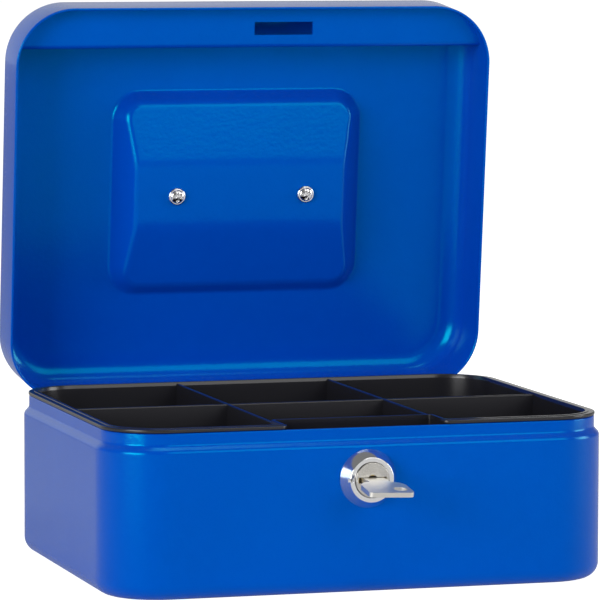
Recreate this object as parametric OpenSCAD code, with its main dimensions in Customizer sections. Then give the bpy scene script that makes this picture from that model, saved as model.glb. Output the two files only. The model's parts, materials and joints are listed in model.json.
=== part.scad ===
// Steel cash box with a hinged lid, a lift-out coin tray, a cylinder lock with key and a folding handle.
// Origin: middle of the underside of the body. X runs to the right, -Y is the lock side, +Z is up.
// The lid is drawn resting open on its stops.

/* [Body] */
// Outside width of the body and lid
box_width = 200; // [150:1:300]
// Outside depth of the body and lid
box_depth = 160; // [110:1:240]
// Outside corner radius in plan
corner_radius = 24; // [14:0.5:40]
// Thickness of the sheet steel
sheet = 1; // [0.6:0.1:1.5]
// Radius of the rounded bottom edge
bottom_radius = 6; // [2:0.5:10]
// Height at which the wall starts to step in under the lid
shoulder_height = 56.2; // [30:0.1:90]
// How far the neck stands in from the wall
neck_inset = 2; // [1.5:0.1:3]
// Height of the rim of the neck
neck_height = 62.9; // [35:0.1:110]

/* [Lid] */
// Height of the lid rim when closed
lid_rim_height = 58; // [32:0.1:95]
// Depth of the lid from its rim to its top
lid_depth = 28; // [20:0.5:45]
// Radius of the rounded top edge
lid_edge_radius = 9; // [3:0.5:14]
// Angle between closed and resting open
open_angle = 84; // [60:1:100]
// Height of the catch plate above the lid rim
catch_height = 7.3; // [6.5:0.1:12]
// Reach of the catch plate back from the front of the lid
catch_reach = 17.6; // [14:0.1:24]
// Thickness of the catch plate
catch_sheet = 1.2; // [0.8:0.1:2]

/* [Handle recess] */
// Width of the recess at the lid top
recess_width = 106; // [80:1:150]
// Depth of the recess from front to back
recess_depth = 84.4; // [60:0.2:110]
// Greatest sink of the recess floor
recess_sink = 10; // [8:0.5:13]
// Sink of the sloping floor at its front and back ends
recess_end_sink = 5; // [3:0.5:7]
// Width of the flat band that carries the handle
recess_flat = 25; // [20:1:40]
// Spacing of the two handle posts
post_spacing = 55; // [45:1:80]
// Thickness of the handle bar
bail_diameter = 5; // [4:0.5:6]
// Reach of the handle from its pivots
bail_reach = 26; // [20:1:30]

/* [Hinges] */
// Distance of each hinge from the middle
hinge_offset = 60; // [40:1:75]
// Width of one hinge
hinge_width = 36; // [24:1:50]
// Distance of the pin behind the rear wall
pin_stand_off = 2; // [1.8:0.1:3]
// Height of the pin
pin_height = 55.45; // [30:0.05:90]
// Pin diameter
pin_diameter = 1.8; // [1.4:0.1:2.4]
// Outside diameter of the rolled knuckles
knuckle_diameter = 3.4; // [3:0.1:4.5]

/* [Coin tray] */
// Height of the underside of the tray
tray_floor_height = 32; // [20:1:50]
// Wall thickness of the tray
tray_wall = 1.6; // [1:0.1:2.5]
// Thickness of the flange that sits on the neck
flange_thickness = 1.3; // [1:0.1:2]
// Width of the middle column of compartments, centre to centre of the dividers
column_pitch = 64; // [50:1:80]
// How far the middle front wall stands behind the front of the body
notch_depth = 20; // [14:1:30]

/* [Lock] */
// Height of the lock centre
lock_height = 43.7; // [25:0.1:70]
// Diameter of the bezel at the wall
bezel_diameter = 22.4; // [18:0.1:28]
// Diameter of the bezel at its front ring
bezel_face_diameter = 17; // [15:0.1:20]
// How far the bezel stands out
bezel_height = 5; // [3:0.1:8]
// Diameter of the turning plug
plug_diameter = 13.2; // [10:0.1:14]
// Radius of the inner edge of the hook
hook_radius = 24.2; // [15:0.1:35]

/* [Hidden] */

$fn = 64;
// Small overlap that keeps cuts clean
eps = 0.05;
// Gap between parts that pass each other
gap = 0.3;

half_width = box_width / 2;
half_depth = box_depth / 2;
pin_y = half_depth + pin_stand_off;
lid_top = lid_rim_height + lid_depth;
neck_radius = corner_radius - neck_inset;
pin_radius = pin_diameter / 2;
knuckle_radius = knuckle_diameter / 2;
leaf_sheet = knuckle_radius - pin_radius;

// Colours
enamel = [0.04, 0.24, 0.72];
plastic = [0.07, 0.07, 0.08];
chrome = [0.82, 0.83, 0.85];
zinc = [0.62, 0.63, 0.64];
nickel = [0.78, 0.76, 0.71];

// ---------- shared shapes ----------

// Flat rounded rectangle, centred
module rounded_rect(w, d, r) {
    square([w - 2 * r, d], center = true);
    square([w, d - 2 * r], center = true);
    for (x = [-1, 1], y = [-1, 1])
        translate([x * (w / 2 - r), y * (d / 2 - r)]) circle(r);
}

// Sweeps a wall section round a rounded rectangle; the section starts at the corner centre
module drawn_pan(w, d, r, floor_sheet) {
    flat_w = w - 2 * r;
    flat_d = d - 2 * r;
    for (q = [0 : 3])
        rotate([0, 0, q * 90])
            translate([(q % 2 == 0 ? flat_w : flat_d) / 2, (q % 2 == 0 ? flat_d : flat_w) / 2, 0])
                rotate_extrude(angle = 90) children();
    for (side = [0, 180]) {
        rotate([0, 0, side]) translate([flat_w / 2, flat_d / 2, 0])
            rotate([90, 0, 0]) linear_extrude(flat_d) children();
        rotate([0, 0, side + 90]) translate([flat_d / 2, flat_w / 2, 0])
            rotate([90, 0, 0]) linear_extrude(flat_w) children();
    }
    translate([-flat_w / 2, -flat_d / 2, 0]) cube([flat_w, flat_d, floor_sheet]);
}

// Quarter outline of a pan: floor, rounded foot and upright wall
module foot_outline(r, foot, low, high) {
    translate([0, low]) square([r - foot, high - low]);
    translate([0, low + foot]) square([r, high - low - foot]);
    translate([r - foot, low + foot]) circle(foot);
}

// Turns the lid parts from closed to resting open about the hinge pins
module opened() {
    translate([0, pin_y, pin_height]) rotate([-open_angle, 0, 0])
        translate([0, -pin_y, -pin_height]) children();
}

// Cylinder along X, from the given point
module rod_x(r, from, length) {
    translate(from) rotate([0, 90, 0]) cylinder(r = r, h = length);
}

// Cylinder along Y, pointing to the back, centred on the lock
module lock_rod(r, from_y, to_y) {
    translate([0, from_y, lock_height]) rotate([-90, 0, 0]) cylinder(r = r, h = to_y - from_y);
}

// ---------- body ----------

module body_section() {
    step_out = corner_radius - sheet;
    step_drop = sheet * (sqrt(2) - 1);
    difference() {
        union() {
            foot_outline(corner_radius, bottom_radius, 0, shoulder_height);
            polygon([[0, shoulder_height - 1], [corner_radius, shoulder_height - 1],
                [corner_radius, shoulder_height], [neck_radius, shoulder_height + neck_inset],
                [neck_radius, neck_height], [0, neck_height]]);
        }
        foot_outline(step_out, bottom_radius - sheet, sheet, shoulder_height - step_drop);
        polygon([[-1, shoulder_height - 2], [step_out, shoulder_height - 2],
            [step_out, shoulder_height - step_drop],
            [neck_radius - sheet, shoulder_height - step_drop + neck_inset],
            [neck_radius - sheet, neck_height + 1], [-1, neck_height + 1]]);
        translate([-10, 0]) square([10, neck_height + 2]);
    }
}

barrel_radius = 8;
nut_across = 20;
nut_thickness = 3;
barrel_end = -half_depth + 8.4;

module body_shell() {
    color(enamel) difference() {
        drawn_pan(box_width, box_depth, corner_radius, sheet) body_section();
        lock_rod(barrel_radius + 0.2, -half_depth - 1, -half_depth + sheet + 1);
    }
}

// ---------- hinges ----------

knuckle_end = hinge_width / 2;
knuckle_mid = 8;
body_leaf_bottom = 40;
lid_leaf_top = 72;
stop_width = 8;
stop_reach = 8.5;

// Profile of the stop tongue that carries the open lid: parallel to the resting skirt
module stop_profile() {
    rise = tan(90 - open_angle);
    under_skirt = pin_height + pin_stand_off - gap;
    polygon([[half_depth, body_leaf_bottom + 6], [half_depth + 1, body_leaf_bottom + 6],
        [half_depth + 1, under_skirt - 2.2], [half_depth + stop_reach, under_skirt - 1.4 + rise * stop_reach],
        [half_depth + stop_reach, under_skirt - 0.4 + rise * (stop_reach - pin_stand_off)],
        [half_depth + 1, under_skirt - 0.4 - rise], [half_depth, under_skirt - 1.4]]);
}

module body_leaf(side) {
    color(zinc) translate([side * hinge_offset, 0, 0]) difference() {
        union() {
            translate([-knuckle_end, half_depth, body_leaf_bottom])
                cube([hinge_width, 1, pin_height - knuckle_radius - gap - body_leaf_bottom]);
            for (s = [-1, 1]) {
                from = s < 0 ? -knuckle_end : knuckle_mid;
                length = knuckle_end - knuckle_mid;
                rod_x(knuckle_radius, [from, pin_y, pin_height], length);
                translate([from, half_depth, body_leaf_bottom])
                    cube([length, pin_stand_off - pin_radius, pin_height - body_leaf_bottom]);
            }
            translate([side > 0 ? knuckle_end : -knuckle_end - stop_width, 0, 0])
                rotate([90, 0, 90]) linear_extrude(stop_width) stop_profile();
            translate([side > 0 ? knuckle_end - 1 : -knuckle_end - stop_width, half_depth, body_leaf_bottom])
                cube([stop_width + 1, 1, 12]);
        }
        rod_x(pin_radius, [-knuckle_end - 1, pin_y, pin_height], hinge_width + 2);
    }
}

module lid_leaf(side) {
    color(zinc) opened() translate([side * hinge_offset, 0, 0]) difference() {
        union() {
            translate([-knuckle_end, half_depth, lid_rim_height])
                cube([hinge_width, 1, lid_leaf_top - lid_rim_height]);
            translate([-knuckle_mid + gap, pin_y - knuckle_radius, pin_height])
                cube([2 * (knuckle_mid - gap), leaf_sheet, lid_rim_height - pin_height + 1]);
            rod_x(knuckle_radius, [-knuckle_mid + gap, pin_y, pin_height], 2 * (knuckle_mid - gap));
        }
        rod_x(pin_radius + 0.05, [-knuckle_mid - 1, pin_y, pin_height], 2 * knuckle_mid + 2);
    }
}

module hinge_pin(side) {
    color(zinc) rod_x(pin_radius, [side * hinge_offset - knuckle_end - 0.5, pin_y, pin_height], hinge_width + 1);
}

module left_body_leaf() { body_leaf(-1); }
module right_body_leaf() { body_leaf(1); }
module left_lid_leaf() { lid_leaf(-1); }
module right_lid_leaf() { lid_leaf(1); }
module left_hinge_pin() { hinge_pin(-1); }
module right_hinge_pin() { hinge_pin(1); }

// ---------- lid ----------

module lid_section() {
    difference() {
        foot_outline(corner_radius, lid_edge_radius, 0, lid_depth);
        foot_outline(corner_radius - sheet, lid_edge_radius - sheet, sheet, lid_depth + 1);
        translate([-lid_edge_radius, 0]) square([lid_edge_radius, lid_depth + 2]);
    }
}

// Pressed bowl of the handle recess, grown by the sheet thickness for its inner side
module recess_bowl(grow) {
    wall_run = 9;
    end_run = 4.2;
    low = lid_top - recess_sink - grow;
    end_low = lid_top - recess_end_sink - grow;
    high = lid_top + (1 - grow) * 0.5 - grow * 0.5;
    w = recess_width / 2 - 1.4 + 1.4 * grow;
    d = recess_depth / 2 - 1.2 + 1.2 * grow;
    intersection() {
        translate([-w, 0, 0]) rotate([90, 0, 90]) linear_extrude(2 * w)
            polygon([[-d, high], [-d + end_run, end_low], [-recess_flat / 2, low],
                [recess_flat / 2, low], [d - end_run, end_low], [d, high]]);
        translate([0, d, 0]) rotate([90, 0, 0]) linear_extrude(2 * d)
            polygon([[-w, high], [-w + wall_run, low], [w - wall_run, low], [w, high]]);
        translate([0, 0, low - 1]) linear_extrude(recess_sink + 3)
            rounded_rect(2 * w, 2 * d, 11 + grow);
    }
}

screw_radius = 1.75;

module lid_shell() {
    color(enamel) opened() difference() {
        union() {
            translate([0, 0, lid_top]) mirror([0, 0, 1])
                drawn_pan(box_width, box_depth, corner_radius, sheet) lid_section();
            recess_bowl(1);
        }
        recess_bowl(0);
        for (s = [-1, 1])
            translate([s * post_spacing / 2, 0, lid_top - recess_sink - 2])
                cylinder(r = screw_radius + 0.2, h = 3);
    }
}

slot_left = 0.75;
slot_right = 25.5;
slot_front = -half_depth + 7;
slot_back = -half_depth + 12.3;

module catch_plate() {
    low = lid_rim_height + catch_height;
    lip = 6;
    inside_radius = corner_radius - sheet;
    color(enamel) opened() difference() {
        intersection() {
            translate([0, 0, low]) linear_extrude(lip + 1)
                rounded_rect(box_width - 2 * sheet, box_depth - 2 * sheet, inside_radius);
            translate([-half_width, -half_depth, 0]) rotate([90, 0, 90]) linear_extrude(box_width)
                union() {
                    translate([0, low]) square([catch_reach - 2, catch_sheet]);
                    translate([catch_reach - catch_sheet, low + 2]) square([catch_sheet, lip - 2]);
                    difference() {
                        translate([catch_reach - 2, low + 2]) circle(2);
                        translate([catch_reach - 2, low + 2]) circle(2 - catch_sheet);
                        translate([catch_reach - 5, low + 2]) square([6, 3]);
                        translate([catch_reach - 5, low - 1]) square([3, 5]);
                    }
                }
        }
        translate([slot_left, slot_front, low - 1])
            cube([slot_right - slot_left, slot_back - slot_front, catch_sheet + 2]);
    }
}

// ---------- handle ----------

pivot_height = lid_top - 4;
bail_radius = bail_diameter / 2;
bail_half = post_spacing / 2 + 7.5;
bail_pin_radius = 2;
post_half = 4.2;
bend = 6;

module handle_post(side) {
    floor_z = lid_top - recess_sink;
    color(chrome) opened() translate([side * post_spacing / 2, 0, 0]) difference() {
        union() {
            translate([0, 0, floor_z]) cylinder(r = 6, h = 1.6);
            translate([0, 0, floor_z]) cylinder(r = post_half, h = pivot_height - floor_z);
            rod_x(post_half - 1.2, [-post_half, 0, pivot_height], 2 * post_half);
        }
        rod_x(bail_pin_radius + 0.06, [side > 0 ? 0 : -post_half - 1, 0, pivot_height], post_half + 1);
        translate([0, 0, floor_z - 1]) cylinder(r = screw_radius, h = 3.6);
    }
}

module left_handle_post() { handle_post(-1); }
module right_handle_post() { handle_post(1); }

screw_head_radius = 3.6;
screw_head_height = 2.4;

module handle_screws() {
    under = lid_top - recess_sink - sheet;
    color(chrome) opened() for (s = [-1, 1])
        translate([s * post_spacing / 2, 0, under]) difference() {
            union() {
                cylinder(r = screw_radius, h = sheet + 2.5);
                translate([0, 0, -0.9]) cylinder(r = screw_head_radius, h = 0.9);
                translate([0, 0, -screw_head_height])
                    cylinder(r1 = screw_head_radius - 1.3, r2 = screw_head_radius, h = screw_head_height - 0.9);
            }
            for (a = [0, 90]) rotate([0, 0, a])
                translate([-2, -0.45, -screw_head_height - 1]) cube([4, 0.9, 2.6]);
        }
}

module handle_bail() {
    color(chrome) opened() translate([0, 0, pivot_height]) {
        rod_x(bail_radius, [-bail_half + bend, bail_reach, 0], 2 * (bail_half - bend));
        for (s = [-1, 1]) {
            translate([s * (bail_half - bend), bail_reach - bend, 0]) rotate([0, 0, s > 0 ? 0 : 90])
                rotate_extrude(angle = 90) translate([bend, 0]) circle(bail_radius);
            translate([s * bail_half, 0, 0]) rotate([-90, 0, 0]) cylinder(r = bail_radius, h = bail_reach - bend);
            translate([s * bail_half, 0, 0]) sphere(bail_radius);
            rod_x(bail_pin_radius, [s > 0 ? post_spacing / 2 + 0.4 : -bail_half, 0, 0],
                bail_half - post_spacing / 2 - 0.4);
        }
    }
}

// ---------- coin tray ----------

module tray_section() {
    foot = 3;
    difference() {
        foot_outline(tray_radius, foot, 0, tray_height);
        foot_outline(tray_radius - tray_wall, foot - tray_wall, tray_wall, tray_height + 1);
        translate([-foot, 0]) square([foot, tray_height + 2]);
    }
}

tray_margin = 4.2;
tray_width = box_width - 2 * tray_margin;
tray_depth = box_depth - 2 * tray_margin;
tray_radius = corner_radius - tray_margin;
flange_low = neck_height + 0.05;
flange_top = flange_low + flange_thickness;
tray_height = flange_top - tray_floor_height;
flange_margin = 2;
flange_radius = corner_radius - flange_margin + 1.5;
divider_drop = 0.4;
notch_half = column_pitch / 2 - tray_wall / 2;
notch_y = -half_depth + notch_depth;

module coin_tray() {
    divider_height = tray_height - divider_drop - tray_wall / 2;
    color(plastic) {
        difference() {
            union() {
                translate([0, 0, tray_floor_height])
                    drawn_pan(tray_width, tray_depth, tray_radius, tray_wall) tray_section();
                translate([0, 0, flange_low]) linear_extrude(flange_thickness) difference() {
                    rounded_rect(box_width - 2 * flange_margin, box_depth - 2 * flange_margin, flange_radius);
                    rounded_rect(tray_width - 1, tray_depth - 1, tray_radius - 0.5);
                }
                translate([0, 0, flange_top - eps]) linear_extrude(0.4 + eps) difference() {
                    rounded_rect(tray_width + 0.4, tray_depth + 0.4, tray_radius + 0.2);
                    rounded_rect(tray_width - 2, tray_depth - 2, tray_radius - 1);
                }
            }
            translate([-notch_half, -half_depth - 1, tray_floor_height - 1])
                cube([2 * notch_half, notch_depth + 1, flange_top]);
            translate([-notch_half - tray_wall, -half_depth - 1, flange_top])
                cube([2 * notch_half + 2 * tray_wall, notch_depth, 2]);
        }
        translate([-notch_half - tray_wall, notch_y, tray_floor_height])
            cube([2 * (notch_half + tray_wall), tray_wall, tray_height - divider_drop]);
        for (s = [-1, 1])
            translate([s * column_pitch / 2 - tray_wall / 2, -tray_depth / 2 + 1, tray_floor_height + tray_wall / 2])
                cube([tray_wall, tray_depth - 2, divider_height]);
        translate([-tray_width / 2 + 1, -tray_wall / 2, tray_floor_height + tray_wall / 2])
            cube([tray_width - 2, tray_wall, divider_height]);
    }
}

// ---------- lock ----------

face_y = -half_depth - bezel_height;
plug_radius = plug_diameter / 2;
plug_front = face_y - 0.6;
plug_back = barrel_end + 0.2;
cam_back = plug_back + 2;
keyway_width = 11.2;
keyway_height = 2.2;
blade_width = 8.2;
blade_sheet = 1.8;
blade_tip = plug_front + 10.5;
wafer_sheet = 1;
wafer_width = 10.4;
wafer_height = 7.4;

module lock_bezel() {
    color(chrome) difference() {
        translate([0, -half_depth, lock_height]) rotate([90, 0, 0])
            cylinder(r1 = bezel_diameter / 2, r2 = bezel_face_diameter / 2, h = bezel_height);
        lock_rod(barrel_radius, face_y + 0.6, -half_depth + 1);
        lock_rod(plug_radius + 0.2, face_y - 1, face_y + 1);
        translate([-bezel_face_diameter / 2 - 1, face_y - 1, lock_height - 0.6]) cube([2.1, 2, 1.2]);
    }
}

module lock_housing() {
    color(zinc) difference() {
        lock_rod(barrel_radius, face_y + 0.6, barrel_end);
        lock_rod(plug_radius + 0.07, face_y - 1, barrel_end + 1);
        for (s = [-1, 1])
            translate([s * (barrel_radius + 4), 0, lock_height])
                cube([8 + 0.6, 3 * half_depth, 3], center = true);
    }
}

module lock_nut() {
    color(zinc) difference() {
        translate([0, -half_depth + sheet, lock_height]) rotate([-90, 0, 0])
            intersection() {
                cube([nut_across, 3 * nut_across, 2 * nut_thickness], center = true);
                rotate([0, 0, 60]) cube([nut_across, 3 * nut_across, 2 * nut_thickness], center = true);
                rotate([0, 0, 120]) cube([nut_across, 3 * nut_across, 2 * nut_thickness], center = true);
                cylinder(r = nut_across, h = nut_thickness);
            }
        lock_rod(barrel_radius, -half_depth, -half_depth + 5);
    }
}

module wafer_slots(grow) {
    for (i = [0 : 3])
        translate([-wafer_width / 2 - grow, plug_front + 2.4 + 2 * i - grow, lock_height - wafer_height / 2 - grow])
            cube([wafer_width + 2 * grow, wafer_sheet + 2 * grow, wafer_height + 2 * grow]);
}

module lock_plug() {
    color(nickel) difference() {
        union() {
            lock_rod(plug_radius, plug_front, plug_back);
            translate([-3.5, plug_back - 1, lock_height - 3.5]) cube([7, cam_back - plug_back + 1, 7]);
        }
        translate([-keyway_width / 2, plug_front - 1, lock_height - keyway_height / 2])
            cube([keyway_width, blade_tip - plug_front + 1.4, keyway_height]);
        lock_rod(2, plug_front - 1, blade_tip);
        wafer_slots(0.05);
        lock_rod(1.5, cam_back - 3.4, cam_back + 1);
    }
}

module wafer_tumblers() {
    color(nickel) difference() {
        wafer_slots(0);
        translate([-4.6, plug_front, lock_height - 1.4]) cube([9.2, 20, 2.8]);
    }
}

// Hook that reaches through the slot of the catch plate when the lock is turned
module lock_cam() {
    tip = 14;
    back = 17;
    arm_low = 1.5;
    arm_high = 8;
    color(zinc) translate([0, plug_back + 0.1, lock_height]) rotate([90, 0, 0]) rotate([0, 0, -90])
        mirror([0, 0, 1]) linear_extrude(cam_back - plug_back - 0.1) difference() {
            union() {
                circle(8);
                translate([arm_low, 0]) square([arm_high - arm_low, hook_radius + 2.6]);
                difference() {
                    circle(hook_radius + 4);
                    circle(hook_radius);
                    rotate(tip) translate([-80, -40]) square([80, 80]);
                    rotate(-back) translate([0, -40]) square([80, 80]);
                    translate([-40, -80]) square([80, 80]);
                }
            }
            square(7.1, center = true);
        }
}

module cam_screw() {
    color(zinc) difference() {
        union() {
            lock_rod(4.3, cam_back + 0.02, cam_back + 2.2);
            lock_rod(1.5, cam_back - 3.2, cam_back + 1);
        }
        translate([-3, cam_back + 1.3, lock_height - 0.45]) cube([6, 2, 0.9]);
    }
}

// Key with a plain flat bow, rounded at its shoulders, that hangs a little below the line of its blade
module door_key() {
    bow_width = 17.6;
    bow_length = 16;
    bow_corner = 2;
    bow_shoulder = 5.6;
    droop = 7.6;
    roll = 2;
    neck = 2.5;
    key_face = plug_front - 6.4;
    hole = [4.7, -neck - 10.6];
    color(nickel) {
        translate([-blade_width / 2, key_face, lock_height - blade_sheet / 2])
            cube([blade_width, blade_tip - key_face, blade_sheet]);
        translate([0, key_face + 0.4, lock_height]) rotate([droop, roll, 0])
            translate([0, 0, -blade_sheet / 2]) linear_extrude(blade_sheet) difference() {
                union() {
                    translate([-blade_width / 2, -neck - 3]) square([blade_width, neck + 3]);
                    hull()
                        for (side = [-1, 1]) {
                            translate([side * (bow_width / 2 - bow_corner), bow_corner - neck - bow_length])
                                circle(bow_corner);
                            translate([side * (bow_width / 2 - bow_shoulder), -neck - bow_shoulder])
                                circle(bow_shoulder);
                        }
                }
                translate(hole) circle(2.6);
            }
    }
}

// ---------- assembly ----------

body_shell();
left_body_leaf();
right_body_leaf();
left_hinge_pin();
right_hinge_pin();
lock_bezel();
lock_housing();
lock_nut();
coin_tray();
lock_plug();
wafer_tumblers();
lock_cam();
cam_screw();
door_key();
lid_shell();
catch_plate();
left_lid_leaf();
right_lid_leaf();
left_handle_post();
right_handle_post();
handle_screws();
handle_bail();
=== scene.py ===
"""Steel cash box with a hinged lid, a lift-out coin tray, a cylinder lock with its key and a folding handle.

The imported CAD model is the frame. Shells and the tray are built again here as smooth surfaces in the places that
the frame gives, small turned and pressed parts are eased copies of their CAD nodes, and every finish is a set of
shader nodes. Sizes inside the classes are millimetres, and meshes are metres.
"""
import json
import logging
import math
from collections.abc import Callable, Sequence
from dataclasses import dataclass, field
from enum import Enum

import bmesh
import bpy
import numpy as np
from mathutils import Matrix, Vector


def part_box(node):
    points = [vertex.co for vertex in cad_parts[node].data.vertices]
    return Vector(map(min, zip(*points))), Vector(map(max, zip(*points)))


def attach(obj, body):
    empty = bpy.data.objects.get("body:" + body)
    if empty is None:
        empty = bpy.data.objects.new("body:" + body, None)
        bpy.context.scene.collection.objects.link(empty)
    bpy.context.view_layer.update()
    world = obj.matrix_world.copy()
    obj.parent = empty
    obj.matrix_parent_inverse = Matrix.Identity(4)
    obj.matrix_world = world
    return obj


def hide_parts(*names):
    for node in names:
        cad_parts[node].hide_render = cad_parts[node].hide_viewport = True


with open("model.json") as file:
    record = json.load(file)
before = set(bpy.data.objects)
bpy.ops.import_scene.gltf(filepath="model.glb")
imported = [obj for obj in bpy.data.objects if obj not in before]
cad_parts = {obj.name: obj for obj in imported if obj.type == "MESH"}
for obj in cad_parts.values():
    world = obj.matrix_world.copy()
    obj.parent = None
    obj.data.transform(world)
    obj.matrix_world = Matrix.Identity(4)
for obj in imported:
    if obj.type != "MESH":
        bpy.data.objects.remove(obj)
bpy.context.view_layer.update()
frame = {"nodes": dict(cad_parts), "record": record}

MM = 0.001
MERGE = 1e-6
SMOOTH_ANGLE = math.radians(32)

Colour = tuple[float, float, float]
WHITE: Colour = (1.0, 1.0, 1.0)

log = logging.getLogger("cash_box")


class Slot(Enum):
    """Material slots of the record."""

    ENAMEL = "enamel"
    HINGE_STEEL = "hinge_steel"
    BRIGHT_CHROME = "bright_chrome"
    ZINC_PLATE = "zinc_plate"
    TRAY_PLASTIC = "tray_plastic"
    NICKEL = "nickel"
    TUMBLER_BRASS = "tumbler_brass"
    KEY_NICKEL = "key_nickel"
    HANDLE_CHROME = "handle_chrome"


# ---------- places that the frame gives ----------


def node_box(node: str) -> np.ndarray:
    """Box of a CAD node at rest.

    Args:
        node: Name of the CAD node.

    Returns:
        Lowest and highest corner as a 2 by 3 array in millimetres.
    """
    return np.array([list(corner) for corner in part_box(node)]) / MM


def joint(name: str) -> dict:
    """Joint of the record.

    Args:
        name: Name of the joint.

    Returns:
        The record's entry for that joint.
    """
    return next(entry for entry in frame["record"]["behaviour"]["joints"] if entry["name"] == name)


def opened(points: np.ndarray) -> np.ndarray:
    """Turns points of the closed lid to where it rests open.

    Each point turns about the hinge pins by the whole travel of the lid: p' = pivot + R (p - pivot).

    Args:
        points: Array whose last axis is x, y, z in millimetres.

    Returns:
        The turned points, in the same layout.
    """
    hinge = joint("lid_hinge")
    pivot = np.array(hinge["pos_m"]) / MM
    travel = math.radians(hinge["range_deg"][1] - hinge["range_deg"][0])
    turn = np.array(Matrix.Rotation(travel, 3, Vector(hinge["axis"])))
    return (points - pivot) @ turn.T + pivot


# ---------- surfaces ----------


def eased_path(corners: Sequence[tuple[float, float, float]], steps: int = 6) -> np.ndarray:
    """Open path of straight runs whose corners are rounded.

    A corner with radius r is left at r / tan(half its inner angle) from its point and crossed on a circle that
    touches both runs. A corner with radius 0 stays sharp.

    Args:
        corners: Points as (across, up, radius).
        steps: Segments on each rounded corner.

    Returns:
        Points of the path as an n by 2 array.
    """
    path = [np.array(corners[0][:2], float)[None]]
    for before, (across, up, radius), after in zip(corners, corners[1:], corners[2:]):
        point = np.array([across, up], float)
        if radius == 0:
            path.append(point[None])
            continue
        back = np.array(before[:2]) - point
        ahead = np.array(after[:2]) - point
        back, ahead = back / np.linalg.norm(back), ahead / np.linalg.norm(ahead)
        half = math.acos(np.clip(back @ ahead, -1, 1)) / 2
        middle = (back + ahead) / np.linalg.norm(back + ahead)
        centre = point + middle * radius / math.sin(half)
        start = point + back * radius / math.tan(half) - centre
        sweep = math.pi - 2 * half
        side = math.copysign(1, start[0] * -middle[1] - start[1] * -middle[0])
        turn = side * sweep * np.linspace(0, 1, steps + 1)
        path.append(centre + np.column_stack([
            start[0] * np.cos(turn) - start[1] * np.sin(turn),
            start[0] * np.sin(turn) + start[1] * np.cos(turn)]))
    path.append(np.array(corners[-1][:2], float)[None])
    return np.concatenate(path)


@dataclass(frozen=True)
class Corner:
    """Quarter turn of an outline: its centre, radius, first angle in degrees, and whether it turns inwards."""

    x: float
    y: float
    radius: float
    start: float
    inward: bool = False


@dataclass(frozen=True)
class Outline:
    """Closed outline in plan, walked with its inside on the left, and its outward direction at each point."""

    points: np.ndarray
    outward: np.ndarray

    @classmethod
    def through(cls, corners: Sequence[Corner], arc_steps: int, line_step: float) -> "Outline":
        """Outline made of quarter turns and the straight runs between them.

        Args:
            corners: The quarter turns in order.
            arc_steps: Segments on each quarter turn.
            line_step: Length of the segments on the straight runs.

        Returns:
            The outline.
        """
        arcs = []
        for corner in corners:
            sweep = -90 if corner.inward else 90
            angle = np.radians(corner.start + sweep * np.linspace(0, 1, arc_steps + 1))
            ray = np.column_stack([np.cos(angle), np.sin(angle)])
            centre = np.array([corner.x, corner.y])
            arcs.append((centre + corner.radius * ray, -ray if corner.inward else ray))
        points, outward = [], []
        for (arc, ray), (following, _) in zip(arcs, arcs[1:] + arcs[:1]):
            run = following[0] - arc[-1]
            pieces = max(1, round(np.linalg.norm(run) / line_step))
            share = np.linspace(0, 1, pieces + 1)[1:-1, None]
            points += [arc, arc[-1] + share * run]
            outward += [ray, np.repeat(ray[-1:], len(share), axis=0)]
        return cls(np.concatenate(points), np.concatenate(outward))

    @classmethod
    def rounded_rect(cls, half: Sequence[float], radius: float, arc_steps: int, line_step: float) -> "Outline":
        """Rounded rectangle about the origin.

        Args:
            half: Half width and half depth.
            radius: Corner radius.
            arc_steps: Segments on each corner.
            line_step: Length of the segments on the sides.

        Returns:
            The outline.
        """
        x, y = half[0] - radius, half[1] - radius
        corners = [Corner(x, -y, radius, -90), Corner(x, y, radius, 0),
                   Corner(-x, y, radius, 90), Corner(-x, -y, radius, 180)]
        return cls.through(corners, arc_steps, line_step)

    def swept(self, section: np.ndarray) -> np.ndarray:
        """Wall surface: each point of the section is carried round the outline.

        Point (row, column) = outline point + outward direction * section offset, at the section's height.

        Args:
            section: Points as (offset from the outline, height).

        Returns:
            Grid of points, rows along the section and columns round the outline.
        """
        plan = self.points[None] + self.outward[None] * section[:, 0, None, None]
        height = np.broadcast_to(section[:, 1, None, None], plan.shape[:2] + (1,))
        return np.concatenate([plan, height], axis=2)


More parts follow.
